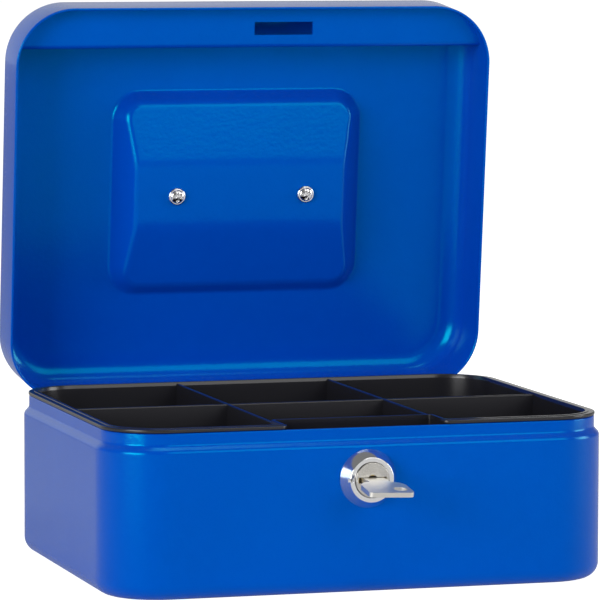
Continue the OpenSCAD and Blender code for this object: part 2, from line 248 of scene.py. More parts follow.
@dataclass
class Surface:
    """Vertices and faces of one piece, collected from grids of points, in millimetres."""

    points: list[np.ndarray] = field(default_factory=list)
    faces: list[list[int]] = field(default_factory=list)
    count: int = 0

    def add_points(self, points: np.ndarray) -> np.ndarray:
        """Adds loose points.

        Args:
            points: Array whose last axis is x, y, z.

        Returns:
            Their numbers, in the layout of the array.
        """
        flat = points.reshape(-1, 3)
        self.points.append(flat)
        first = self.count
        self.count += len(flat)
        return np.arange(first, self.count).reshape(points.shape[:-1])

    def add_grid(self, points: np.ndarray, closed_rows: bool = True, closed_columns: bool = False,
                 without: np.ndarray | None = None) -> np.ndarray:
        """Adds a grid of four-sided faces.

        Args:
            points: Grid of points, rows by columns by 3.
            closed_rows: Whether each row runs round to its start.
            closed_columns: Whether each column runs round to its start.
            without: Cells that are left open, as a grid of booleans.

        Returns:
            Numbers of the grid's points.
        """
        number = self.add_points(points)
        right = np.roll(number, -1, axis=1)
        up = np.roll(number, -1, axis=0)
        cells = np.stack([number, right, np.roll(right, -1, axis=0), up], axis=2)
        cells = cells if closed_columns else cells[:-1]
        cells = cells if closed_rows else cells[:, :-1]
        keep = np.ones(cells.shape[:2], bool) if without is None else ~without[:cells.shape[0], :cells.shape[1]]
        self.faces += cells[keep].tolist()
        return number

    def add_face(self, numbers: Sequence[int] | np.ndarray) -> None:
        """Adds one face with any number of corners.

        Args:
            numbers: Numbers of its corners, in order.
        """
        self.faces.append([int(n) for n in numbers])

    def made(self, name: str, smooth_angle: float = SMOOTH_ANGLE) -> bpy.types.Object:
        """Makes the mesh object, with doubles merged and faces pointing outwards.

        Args:
            name: Name of the piece.
            smooth_angle: Edges sharper than this stay sharp.

        Returns:
            The object, linked to the scene.
        """
        mesh = bpy.data.meshes.new(name)
        mesh.from_pydata((np.concatenate(self.points) * MM).tolist(), [], self.faces)
        mesh.validate()
        return finished_object(name, mesh, smooth_angle)


def finished_object(name: str, mesh: bpy.types.Mesh, smooth_angle: float) -> bpy.types.Object:
    """Merges doubles, turns faces outwards, shades the mesh smooth and links an object for it.

    Args:
        name: Name of the piece.
        mesh: Mesh to finish.
        smooth_angle: Edges sharper than this stay sharp.

    Returns:
        The object.
    """
    shape = bmesh.new()
    shape.from_mesh(mesh)
    bmesh.ops.remove_doubles(shape, verts=shape.verts, dist=MERGE)
    bmesh.ops.recalc_face_normals(shape, faces=shape.faces)
    shape.to_mesh(mesh)
    shape.free()
    mesh.polygons.foreach_set("use_smooth", np.ones(len(mesh.polygons), bool))
    mesh.set_sharp_from_angle(angle=smooth_angle)
    mesh.update()
    piece = bpy.data.objects.new(name, mesh)
    bpy.context.scene.collection.objects.link(piece)
    return piece


def eased_copy(node: str, ease: float, segments: int = 2) -> bpy.types.Object:
    """Copy of a CAD node with its loose triangles merged and its sharp edges eased by a Bevel modifier.

    Args:
        node: Name of the CAD node.
        ease: Width of the eased edge in millimetres.
        segments: Segments across the eased edge.

    Returns:
        The new piece.
    """
    mesh = frame["nodes"][node].data.copy()
    mesh.materials.clear()
    shape = bmesh.new()
    shape.from_mesh(mesh)
    bmesh.ops.remove_doubles(shape, verts=shape.verts, dist=MERGE)
    bmesh.ops.dissolve_limit(shape, angle_limit=math.radians(0.5), verts=shape.verts, edges=shape.edges)
    shape.to_mesh(mesh)
    shape.free()
    piece = finished_object(f"{node}.finished", mesh, SMOOTH_ANGLE)
    bevel = piece.modifiers.new("eased_edges", "BEVEL")
    bevel.width = ease * MM
    bevel.segments = segments
    bevel.limit_method = "ANGLE"
    bevel.angle_limit = math.radians(28)
    bevel.harden_normals = True
    return piece


def placed(piece: bpy.types.Object, body: str, slot: Slot, *nodes: str) -> bpy.types.Object:
    """Gives a piece its finish, its body and the CAD nodes that it stands for.

    Args:
        piece: The finished mesh object.
        body: CAD body that it moves with.
        slot: Material slot of the record.
        nodes: CAD nodes that it replaces.

    Returns:
        The piece.
    """
    piece.data.materials.clear()
    piece.data.materials.append(finish_of(slot))
    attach(piece, body)
    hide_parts(*nodes)
    log.info("%s: %d faces, on %s, in %s", piece.name, len(piece.data.polygons), body, slot.value)
    return piece


# ---------- shader groups ----------


@dataclass
class NodeTree:
    """Short way to add and join the nodes of one tree."""

    tree: bpy.types.NodeTree

    def add(self, kind: str, values: dict[str | int, object] | None = None, **settings: object) -> bpy.types.Node:
        """Adds a node.

        Args:
            kind: Type name of the node.
            values: Values of its inputs, or the output sockets that feed them.
            settings: Properties of the node.

        Returns:
            The node.
        """
        node = self.tree.nodes.new(kind)
        for key, value in settings.items():
            setattr(node, key, value)
        for key, value in (values or {}).items():
            if isinstance(value, bpy.types.NodeSocket):
                self.tree.links.new(value, node.inputs[key])
            else:
                node.inputs[key].default_value = value
        return node

    def math(self, operation: str, *values: object, clamp: bool = False) -> bpy.types.NodeSocket:
        """Adds a Math node and returns its output.

        Args:
            operation: Name of the operation.
            values: Its inputs, as numbers or sockets.
            clamp: Whether the result is held between 0 and 1.

        Returns:
            The output socket.
        """
        return self.add("ShaderNodeMath", dict(enumerate(values)), operation=operation, use_clamp=clamp).outputs[0]

    def blend(self, mask: bpy.types.NodeSocket, first: object, second: object) -> bpy.types.NodeSocket:
        """Adds a colour Mix node and returns its output.

        Args:
            mask: Share of the second colour.
            first: Colour where the mask is 0, as three numbers or a socket.
            second: Colour where the mask is 1, as three numbers or a socket.

        Returns:
            The output socket.
        """
        ends = [(*end, 1.0) if isinstance(end, tuple) else end for end in (first, second)]
        return self.add("ShaderNodeMix", {0: mask, 6: ends[0], 7: ends[1]}, data_type="RGBA").outputs[2]

    def noise(self, vector: bpy.types.NodeSocket, scale: object, detail: float = 2.0,
              roughness: float = 0.5) -> bpy.types.NodeSocket:
        """Adds a Noise Texture and returns its value.

        Args:
            vector: Place on the surface.
            scale: Waves per metre, as a number or socket.
            detail: Octaves of the noise.
            roughness: Weight of each finer octave.

        Returns:
            The output socket, about 0.5 on average.
        """
        values = {"Vector": vector, "Scale": scale, "Detail": detail, "Roughness": roughness}
        return self.add("ShaderNodeTexNoise", values).outputs[0]

    def spread(self, value: bpy.types.NodeSocket, low: object, high: object, to_low: object,
               to_high: object) -> bpy.types.NodeSocket:
        """Maps a value from one range to another with soft ends.

        Args:
            value: The value.
            low: Start of its range.
            high: End of its range.
            to_low: Result at the start.
            to_high: Result at the end.

        Returns:
            The output socket.
        """
        values = {"Value": value, "From Min": low, "From Max": high, "To Min": to_low, "To Max": to_high}
        return self.add("ShaderNodeMapRange", values, interpolation_type="SMOOTHSTEP").outputs[0]


class SharedEffects:
    """Node groups that more than one finish uses."""

    @staticmethod
    def group(name: str, inputs: dict[str, float | None], outputs: Sequence[str],
              build: Callable[[NodeTree, bpy.types.Node], dict[str, bpy.types.NodeSocket]]) -> bpy.types.NodeTree:
        """Finds a node group, or builds it on its first use.

        Args:
            name: Name of the group.
            inputs: Its inputs with their values; None marks a vector.
            outputs: Names of its outputs, all plain values.
            build: Adds the inner nodes and returns the socket for each output.

        Returns:
            The group.
        """
        if name in bpy.data.node_groups:
            return bpy.data.node_groups[name]
        tree = bpy.data.node_groups.new(name, "ShaderNodeTree")
        for label, value in inputs.items():
            kind = "NodeSocketVector" if value is None else "NodeSocketFloat"
            socket = tree.interface.new_socket(label, in_out="INPUT", socket_type=kind)
            if value is not None:
                socket.default_value = value
        for label in outputs:
            tree.interface.new_socket(label, in_out="OUTPUT", socket_type="NodeSocketFloat")
        nodes = NodeTree(tree)
        found = build(nodes, nodes.add("NodeGroupInput"))
        nodes.add("NodeGroupOutput", found)
        return tree

    @classmethod
    def orange_peel(cls) -> bpy.types.NodeTree:
        """Soft dimples of sprayed or baked paint, as a height made of two sizes of noise.

        Returns:
            The node group.
        """
        def build(nodes: NodeTree, given: bpy.types.Node) -> dict[str, bpy.types.NodeSocket]:
            """Height = 0.7 * dimples + 0.3 * finer dimples.

            Args:
                nodes: Tree of the group.
                given: The group's input node.

            Returns:
                The outputs by name.
            """
            coarse = nodes.noise(given.outputs["Vector"], given.outputs["Dimples per metre"], 1.0, 0.4)
            finer_scale = nodes.math("MULTIPLY", given.outputs["Dimples per metre"], 2.6)
            fine = nodes.noise(given.outputs["Vector"], finer_scale, 1.0, 0.4)
            fine_part = nodes.math("MULTIPLY", fine, 0.3)
            return {"Height": nodes.math("MULTIPLY_ADD", coarse, 0.7, fine_part)}
        return cls.group("orange_peel", {"Vector": None, "Dimples per metre": 700.0}, ["Height"], build)

    @classmethod
    def handling(cls) -> bpy.types.NodeTree:
        """Cloudy traces of handling and wiping, from 0 on clean surface to 1.

        Returns:
            The node group.
        """
        def build(nodes: NodeTree, given: bpy.types.Node) -> dict[str, bpy.types.NodeSocket]:
            """Mask = broad clouds raised by finer streaks, cut by the amount.

            Args:
                nodes: Tree of the group.
                given: The group's input node.

            Returns:
                The outputs by name.
            """
            broad = nodes.noise(given.outputs["Vector"], given.outputs["Clouds per metre"], 3.0, 0.55)
            finer_scale = nodes.math("MULTIPLY", given.outputs["Clouds per metre"], 9.0)
            streaks = nodes.noise(given.outputs["Vector"], finer_scale, 2.0, 0.6)
            mixed = nodes.math("MULTIPLY_ADD", streaks, 0.35, nodes.math("MULTIPLY", broad, 0.75))
            cut = nodes.spread(mixed, 0.42, 0.72, 0.0, 1.0)
            return {"Mask": nodes.math("MULTIPLY", cut, given.outputs["Amount"])}
        return cls.group("handling", {"Vector": None, "Clouds per metre": 14.0, "Amount": 1.0}, ["Mask"], build)

    @classmethod
    def grain(cls) -> bpy.types.NodeTree:
        """Fine parallel grain of brushed or drawn metal, long along X, as a height and a tone.

        Returns:
            The node group.
        """
        def build(nodes: NodeTree, given: bpy.types.Node) -> dict[str, bpy.types.NodeSocket]:
            """Noise on a place that is squeezed along X, so each mark is many times longer than wide.

            Args:
                nodes: Tree of the group.
                given: The group's input node.

            Returns:
                The outputs by name.
            """
            mapping = nodes.add("ShaderNodeMapping", {"Vector": given.outputs["Vector"]}, vector_type="POINT")
            mapping.inputs["Scale"].default_value = (0.06, 1.0, 1.0)
            marks = nodes.noise(mapping.outputs[0], given.outputs["Lines per metre"], 3.0, 0.6)
            return {"Height": marks, "Tone": nodes.spread(marks, 0.3, 0.7, 0.0, 1.0)}
        return cls.group("grain", {"Vector": None, "Lines per metre": 4000.0}, ["Height", "Tone"], build)

    @classmethod
    def dust(cls) -> bpy.types.NodeTree:
        """Thin dust on faces that look up, as a mask.

        Returns:
            The node group.
        """
        def build(nodes: NodeTree, given: bpy.types.Node) -> dict[str, bpy.types.NodeSocket]:
            """Mask = upward share of the normal * specks * amount.

            Args:
                nodes: Tree of the group.
                given: The group's input node.

            Returns:
                The outputs by name.
            """
            normal = nodes.add("ShaderNodeNewGeometry").outputs["Normal"]
            upward = nodes.add("ShaderNodeSeparateXYZ", {0: normal}).outputs["Z"]
            facing = nodes.spread(upward, 0.3, 0.95, 0.0, 1.0)
            specks = nodes.spread(nodes.noise(given.outputs["Vector"], 900.0, 4.0, 0.7), 0.45, 0.8, 0.0, 1.0)
            laid = nodes.math("MULTIPLY", facing, specks)
            return {"Mask": nodes.math("MULTIPLY", laid, given.outputs["Amount"])}
        return cls.group("dust", {"Vector": None, "Amount": 0.3}, ["Mask"], build)


# ---------- finishes ----------


@dataclass(frozen=True)
class Finish:
    """A surface finish. Its material is made on first use."""

    name: str
    colour: Colour
    roughness: float

    def material(self) -> bpy.types.Material:
        """Finds or makes the material.

        Returns:
            The material.
        """
        if self.name in bpy.data.materials:
            return bpy.data.materials[self.name]
        material = bpy.data.materials.new(self.name)
        material.use_nodes = True
        material.diffuse_color = (*self.colour, 1.0)
        material.node_tree.nodes.clear()
        nodes = NodeTree(material.node_tree)
        place = nodes.add("ShaderNodeTexCoord").outputs["Object"]
        shader = nodes.add("ShaderNodeBsdfPrincipled")
        nodes.add("ShaderNodeOutputMaterial", {"Surface": shader.outputs[0]})
        self.dress(nodes, place, shader)
        return material

    def effect(self, nodes: NodeTree, group: bpy.types.NodeTree,
               values: dict[str | int, object]) -> bpy.types.Node:
        """Places a shared effect in the material.

        Args:
            nodes: Tree of the material.
            group: The shared effect.
            values: Its inputs.

        Returns:
            The group node.
        """
        node = nodes.add("ShaderNodeGroup")
        node.node_tree = group
        for key, value in values.items():
            if isinstance(value, bpy.types.NodeSocket):
                nodes.tree.links.new(value, node.inputs[key])
            else:
                node.inputs[key].default_value = value
        return node

    def tinted(self, nodes: NodeTree, mask: bpy.types.NodeSocket, worn: Colour) -> bpy.types.NodeSocket:
        """Colour that runs from the finish's own to another where the mask is 1.

        Args:
            nodes: Tree of the material.
            mask: The mask.
            worn: The other colour.

        Returns:
            The output socket.
        """
        return nodes.blend(mask, self.colour, worn)

    def bumped(self, nodes: NodeTree, shader: bpy.types.Node, height: bpy.types.NodeSocket,
               depth: float) -> None:
        """Feeds a height to the shader's normal.

        Args:
            nodes: Tree of the material.
            shader: The shader.
            height: The height, from 0 to 1.
            depth: Depth of the relief in millimetres.
        """
        bump = nodes.add("ShaderNodeBump", {"Height": height, "Strength": 1.0, "Distance": depth * MM})
        nodes.tree.links.new(bump.outputs[0], shader.inputs["Normal"])

    def dress(self, nodes: NodeTree, place: bpy.types.NodeSocket, shader: bpy.types.Node) -> None:
        """Adds the nodes of this finish; each kind of finish has its own.

        Args:
            nodes: Tree of the material.
            place: Place on the piece.
            shader: The shader to feed.
        """
        raise NotImplementedError


@dataclass(frozen=True)
class PowderCoat(Finish):
    """Baked powder coat: deep colour under a clear gloss with orange peel."""

    shade: Colour = (0.0, 0.05, 0.42)
    tint: Colour = (0.0, 0.95, 1.0)
    dust_colour: Colour = (0.45, 0.5, 0.58)
    dimples: float = 640.0
    peel: float = 0.06

    def dress(self, nodes: NodeTree, place: bpy.types.NodeSocket, shader: bpy.types.Node) -> None:
        """Colour clouds, uneven gloss, light dust and orange peel.

        Args:
            nodes: Tree of the material.
            place: Place on the piece.
            shader: The shader to feed.
        """
        clouds = self.effect(nodes, SharedEffects.handling(),
                             {"Vector": place, "Clouds per metre": 22.0, "Amount": 0.3})
        colour = self.tinted(nodes, clouds.outputs["Mask"], self.shade)
        dust = self.effect(nodes, SharedEffects.dust(), {"Vector": place, "Amount": 0.04})
        dusted = nodes.blend(dust.outputs["Mask"], colour, self.dust_colour)
        nodes.tree.links.new(dusted, shader.inputs["Base Color"])
        gloss = nodes.spread(clouds.outputs["Mask"], 0.0, 1.0, self.roughness, self.roughness + 0.06)
        nodes.tree.links.new(gloss, shader.inputs["Roughness"])
        shader.inputs["IOR"].default_value = 1.55
        shader.inputs["Specular Tint"].default_value = (*self.tint, 1.0)
        peel = self.effect(nodes, SharedEffects.orange_peel(), {"Vector": place, "Dimples per metre": self.dimples})
        self.bumped(nodes, shader, peel.outputs["Height"], self.peel)


@dataclass(frozen=True)
class PlatedMetal(Finish):
    """Plated or plain metal with fine grain and traces of handling."""

    worn: Colour = (0.5, 0.5, 0.5)
    lines: float = 5000.0
    grain: float = 0.002
    smudges: float = 0.5

    def dress(self, nodes: NodeTree, place: bpy.types.NodeSocket, shader: bpy.types.Node) -> None:
        """Metal whose tone and gloss follow its grain and smudges.

        Args:
            nodes: Tree of the material.
            place: Place on the piece.
            shader: The shader to feed.
        """
        shader.inputs["Metallic"].default_value = 1.0
        smudge = self.effect(nodes, SharedEffects.handling(),
                             {"Vector": place, "Clouds per metre": 90.0, "Amount": self.smudges})
        grain = self.effect(nodes, SharedEffects.grain(), {"Vector": place, "Lines per metre": self.lines})
        nodes.tree.links.new(self.tinted(nodes, smudge.outputs["Mask"], self.worn), shader.inputs["Base Color"])
        uneven = nodes.math("MULTIPLY_ADD", grain.outputs["Tone"], 0.25 * self.roughness, 0.85 * self.roughness)
        gloss = nodes.math("MULTIPLY_ADD", smudge.outputs["Mask"], 0.12, uneven)
        nodes.tree.links.new(gloss, shader.inputs["Roughness"])
        self.bumped(nodes, shader, grain.outputs["Height"], self.grain)


@dataclass(frozen=True)
class MouldedPlastic(Finish):
    """Moulded plastic with a fine eroded texture and light dust."""

    worn: Colour = (0.014, 0.014, 0.016)
    texture: float = 0.012
    dust: float = 0.08
    dust_colour: Colour = (0.16, 0.16, 0.17)

    def dress(self, nodes: NodeTree, place: bpy.types.NodeSocket, shader: bpy.types.Node) -> None:
        """Colour with faint clouds and dust, satin gloss and a fine grain.

        Args:
            nodes: Tree of the material.
            place: Place on the piece.
            shader: The shader to feed.
        """
        clouds = self.effect(nodes, SharedEffects.handling(), {"Vector": place, "Clouds per metre": 30.0})
        colour = self.tinted(nodes, clouds.outputs["Mask"], self.worn)
        dust = self.effect(nodes, SharedEffects.dust(), {"Vector": place, "Amount": self.dust})
        dusted = nodes.blend(dust.outputs["Mask"], colour, self.dust_colour)
        nodes.tree.links.new(dusted, shader.inputs["Base Color"])
        gloss = nodes.spread(clouds.outputs["Mask"], 0.0, 1.0, self.roughness, self.roughness + 0.1)
        nodes.tree.links.new(gloss, shader.inputs["Roughness"])
        shader.inputs["IOR"].default_value = 1.42
        eroded = self.effect(nodes, SharedEffects.orange_peel(), {"Vector": place, "Dimples per metre": 2600.0})
        self.bumped(nodes, shader, eroded.outputs["Height"], self.texture)


FINISHES: dict[Slot, Finish] = {
    Slot.ENAMEL: PowderCoat("powder_coat_blue", (0.0, 0.063, 0.48), 0.19),
    Slot.HINGE_STEEL: PlatedMetal("hinge_steel", (0.56, 0.57, 0.58), 0.3, grain=0.004),
    Slot.BRIGHT_CHROME: PlatedMetal("bright_chrome", (0.86, 0.87, 0.88), 0.07, (0.7, 0.71, 0.72), grain=0.0006,
                                    smudges=0.4),
    Slot.ZINC_PLATE: PlatedMetal("zinc_plate", (0.62, 0.62, 0.6), 0.34, (0.5, 0.5, 0.47), grain=0.004),
    Slot.TRAY_PLASTIC: MouldedPlastic("tray_plastic", (0.004, 0.004, 0.005), 0.46),
    Slot.NICKEL: PlatedMetal("satin_nickel", (0.7, 0.68, 0.64), 0.26, (0.52, 0.5, 0.46), grain=0.003),
    Slot.TUMBLER_BRASS: PlatedMetal("tumbler_brass", (0.72, 0.52, 0.22), 0.3, (0.5, 0.36, 0.16)),
    Slot.KEY_NICKEL: PlatedMetal("key_nickel", (0.82, 0.79, 0.74), 0.03, (0.7, 0.67, 0.62), grain=0.0002,
                                 smudges=0.06),
    Slot.HANDLE_CHROME: PlatedMetal("handle_chrome", (0.84, 0.85, 0.86), 0.08, (0.68, 0.69, 0.7), grain=0.0006),
}


def finish_of(slot: Slot) -> bpy.types.Material:
    """Material of a slot.

    Args:
        slot: Material slot of the record.

    Returns:
        The material.
    """
    return FINISHES[slot].material()


# ---------- body ----------


@dataclass
class Body:
    """Drawn steel body: rounded foot, straight wall, a soft step in under the lid, and a neck with a rolled edge."""

    corner_radius: float = 24.0
    sheet: float = 1.0
    foot_radius: float = 6.0
    shoulder_height: float = 56.2
    neck_inset: float = 2.0
    lock_opening: float = 8.2
    lock_window: float = 12.0
    lock_window_rise: float = 11.0
    line_step: float = 4.0
    arc_steps: int = 28
    box: np.ndarray = field(default_factory=lambda: node_box("body_shell"))

    def section(self, lock_height: float) -> np.ndarray:
        """Wall section from the middle of the underside, over the neck's rim, to the middle of the inner floor.

        Args:
            lock_height: Height of the lock; the wall has rows just above and below it.

        Returns:
            Points as (offset from the outline, height).
        """
        sheet, inset, shoulder = self.sheet, self.neck_inset, self.shoulder_height
        rim = self.box[1, 2]
        step_drop = sheet * (math.sqrt(2) - 1)
        floor_end = self.foot_radius + 2
        low, high = lock_height - self.lock_window_rise, lock_height + self.lock_window_rise
        return eased_path([
            (-floor_end, 0, 0), (0, 0, self.foot_radius), (0, low, 0), (0, high, 0), (0, shoulder, 2.4),
            (-inset, shoulder + inset, 1.8), (-inset, rim, 0.48), (-inset - sheet, rim, 0.48),
            (-inset - sheet, shoulder + inset - step_drop, 1.4), (-sheet, shoulder - step_drop, 1.6),
            (-sheet, high, 0), (-sheet, low, 0), (-sheet, sheet, self.foot_radius - sheet),
            (-floor_end, sheet, 0)], steps=8)

    def build(self) -> bpy.types.Object:
        """Sweeps the wall, closes both floors and opens the hole for the lock.

        Returns:
            The finished piece.
        """
        lock_height = joint("lock_turn")["pos_m"][2] / MM
        half = self.box[1, :2]
        outline = Outline.rounded_rect(half, self.corner_radius, self.arc_steps, self.line_step)
        section = self.section(lock_height)
        grid = outline.swept(section)
        across, along = outline.points.T
        front = (np.abs(along + half[1]) < 1e-6) & (np.abs(across) < self.lock_window + 0.1)
        columns = np.flatnonzero(front)
        columns = columns[np.argsort(outline.points[columns, 0])]
        low_rows = np.flatnonzero(np.abs(section[:, 1] - lock_height + self.lock_window_rise) < 1e-6)
        open_cells = np.zeros(grid.shape[:2], bool)
        for row in (low_rows[0], low_rows[1] - 1):
            open_cells[row, columns[:-1]] = True
        surface = Surface()
        number = surface.add_grid(grid, without=open_cells)
        surface.add_face(number[0])
        surface.add_face(number[-1])
        rows = ((low_rows[0], low_rows[0] + 1), (low_rows[1], low_rows[1] - 1))
        rings = [self.lock_hole(surface, number, columns, pair, lock_height, -half[1] + depth)
                 for pair, depth in zip(rows, (0, self.sheet))]
        for a, b, c, d in zip(rings[0], np.roll(rings[0], -1), np.roll(rings[1], -1), rings[1]):
            surface.add_face([a, b, c, d])
        return placed(surface.made("body_shell.finished"), "base", Slot.ENAMEL, "body_shell")

    def lock_hole(self, surface: Surface, number: np.ndarray, columns: np.ndarray, rows: tuple[int, int],
                  height: float, y: float) -> np.ndarray:
        """Closes one side of the open window round the lock with two faces that leave a round hole.

        Args:
            surface: The surface to add to.
            number: Numbers of the wall's points.
            columns: Columns of the window, from left to right.
            rows: Lower and upper row of the window.
            height: Height of the hole's centre.
            y: Place of this side of the wall.

        Returns:
            Numbers of the points round the hole.
        """
        turn = np.linspace(-math.pi / 2, 1.5 * math.pi, 64, endpoint=False)
        ring = surface.add_points(np.column_stack([
            self.lock_opening * np.cos(turn), np.full(64, y), height + self.lock_opening * np.sin(turn)]))
        middle = len(columns) // 2
        low, high = number[rows[0], columns], number[rows[1], columns]
        right_half, left_half = ring[:33], np.append(ring[32:], ring[0])
        surface.add_face([*low[middle:], *high[middle:][::-1], *right_half[::-1]])
        surface.add_face([*high[:middle + 1][::-1], *low[:middle + 1], *left_half[::-1]])
        return ring


# ---------- lid ----------


def smooth_min(a: np.ndarray, b: np.ndarray, blend: float) -> np.ndarray:
    """Smaller of two values, with the corner between them rounded over a width of about twice the blend.

    Args:
        a: One set of values.
        b: The other set.
        blend: Half width of the rounding.

    Returns:
        The smaller values.
    """
    share = np.clip(0.5 + 0.5 * (b - a) / blend, 0, 1)
    return b + (a - b) * share - blend * share * (1 - share)


def smooth_max(a: np.ndarray, b: np.ndarray, blend: float) -> np.ndarray:
    """Larger of two values, rounded in the same way.

    Args:
        a: One set of values.
        b: The other set.
        blend: Half width of the rounding.

    Returns:
        The larger values.
    """
    return -smooth_min(-a, -b, blend)


@dataclass
class HandleRecess:
    """Pressed recess for the handle, seen from inside as a raised plateau that falls away to two ends."""

    half_width: float = 53.0
    half_depth: float = 42.2
    radius: float = 12.0
    sink: float = 10.0
    end_sink: float = 5.0
    flat_half: float = 12.5
    slope_end: float = 38.0
    wall_slope: float = 1.15
    ridge_blend: float = 1.6
    foot_blend: float = 1.0

    def depth(self, plan: np.ndarray, shrink: float) -> np.ndarray:
        """Depth of the recess below the panel.

        Along y the floor is level in its middle band and rises in a straight line to its ends. Round its edge a
        sloping wall rises by the distance inside a rounded rectangle. The lower of both holds, rounded where they
        meet, and the foot of the wall runs out into the panel.

        Args:
            plan: Points in plan, last axis x, y.
            shrink: How far this side of the sheet stands inside the edge of the recess.

        Returns:
            Depth at each point.
        """
        x, y = np.abs(plan[..., 0]), np.abs(plan[..., 1])
        fall = (self.sink - self.end_sink) / (self.slope_end - self.flat_half)
        floor = self.sink - fall * smooth_max(y - self.flat_half, np.zeros_like(y), 3.0)
        inner = np.stack([x - self.half_width + shrink + self.radius, y - self.half_depth + shrink + self.radius])
        inside = self.radius - np.hypot(*np.maximum(inner, 0)) - np.minimum(inner.max(axis=0), 0)
        walled = smooth_min(floor, self.wall_slope * inside, self.ridge_blend)
        return smooth_max(walled, np.zeros_like(walled), self.foot_blend)


@dataclass
class Lid:
    """Drawn lid with its rolled rim, pressed recess and catch plate; its hinge leaves are made with the hinges."""

    half: tuple[float, float] = (100.0, 80.0)
    corner_radius: float = 24.0
    sheet: float = 1.0
    rim_height: float = 58.0
    top_height: float = 86.0
    edge_radius: float = 9.0
    arc_steps: int = 30
    line_step: float = 2.6
    recess: HandleRecess = field(default_factory=HandleRecess)

    def panel(self, base: np.ndarray, shares: np.ndarray, level: float, shrink: float) -> np.ndarray:
        """Top panel as rings from its edge to its middle, sunk by the recess.

        Ring = share * edge of the panel in plan, at level - depth of the recess.

        Args:
            base: Edge of the panel in plan.
            shares: Size of each ring against the edge.
            level: Height of the flat panel.
            shrink: How far this side of the sheet stands inside the edge of the recess.

        Returns:
            Grid of points.
        """
        plan = shares[:, None, None] * base[None]
        height = level - self.recess.depth(plan, shrink)
        return np.concatenate([plan, height[..., None]], axis=2)

    def build_shell(self) -> bpy.types.Object:
        """Makes the drawn shell, closed first and then turned open.

        Returns:
            The finished piece.
        """
        outline = Outline.rounded_rect(self.half, self.corner_radius, self.arc_steps, self.line_step)
        rim, top, sheet, edge = self.rim_height, self.top_height, self.sheet, self.edge_radius
        section = eased_path([
            (-edge - 0.5, top, 0), (0, top, edge), (0, rim, 0.48), (-sheet, rim, 0.48),
            (-sheet, top - sheet, edge - sheet), (-edge - 0.5, top - sheet, 0)], steps=10)
        base = outline.points - outline.outward * (edge + 0.5)
        shares = np.concatenate([np.linspace(0.985, 0.66, 10), np.linspace(0.64, 0.43, 64),
                                 np.linspace(0.415, 0.03, 20)])
        outside = self.panel(base, shares, top, 1.3)
        inside = self.panel(base, shares, top - sheet, 0.0)
        grid = np.concatenate([outside[::-1], outline.swept(section), inside])
        surface = Surface()
        number = surface.add_grid(opened(grid))
        surface.add_face(number[0])
        surface.add_face(number[-1])
        return placed(surface.made("lid_shell.finished"), "lid", Slot.ENAMEL, "lid_shell")

    def build(self) -> None:
        """Builds the shell and dresses the catch plate."""
        self.build_shell()
        placed(eased_copy("catch_plate", 0.45, 3), "lid", Slot.ENAMEL, "catch_plate")


# ---------- hinges ----------


@dataclass
class Hinges:
    """Two hinges, painted with the box, each with a leaf on the body, a leaf on the lid and a bare pin."""

    ease: float = 0.2

    def build(self) -> None:
        """Eases the leaves and pins."""
        for side in ("left", "right"):
            placed(eased_copy(f"{side}_body_leaf", self.ease), "base", Slot.ENAMEL, f"{side}_body_leaf")
            placed(eased_copy(f"{side}_lid_leaf", self.ease), "lid", Slot.ENAMEL, f"{side}_lid_leaf")
            placed(eased_copy(f"{side}_hinge_pin", self.ease), "base", Slot.HINGE_STEEL, f"{side}_hinge_pin")


# ---------- coin tray ----------


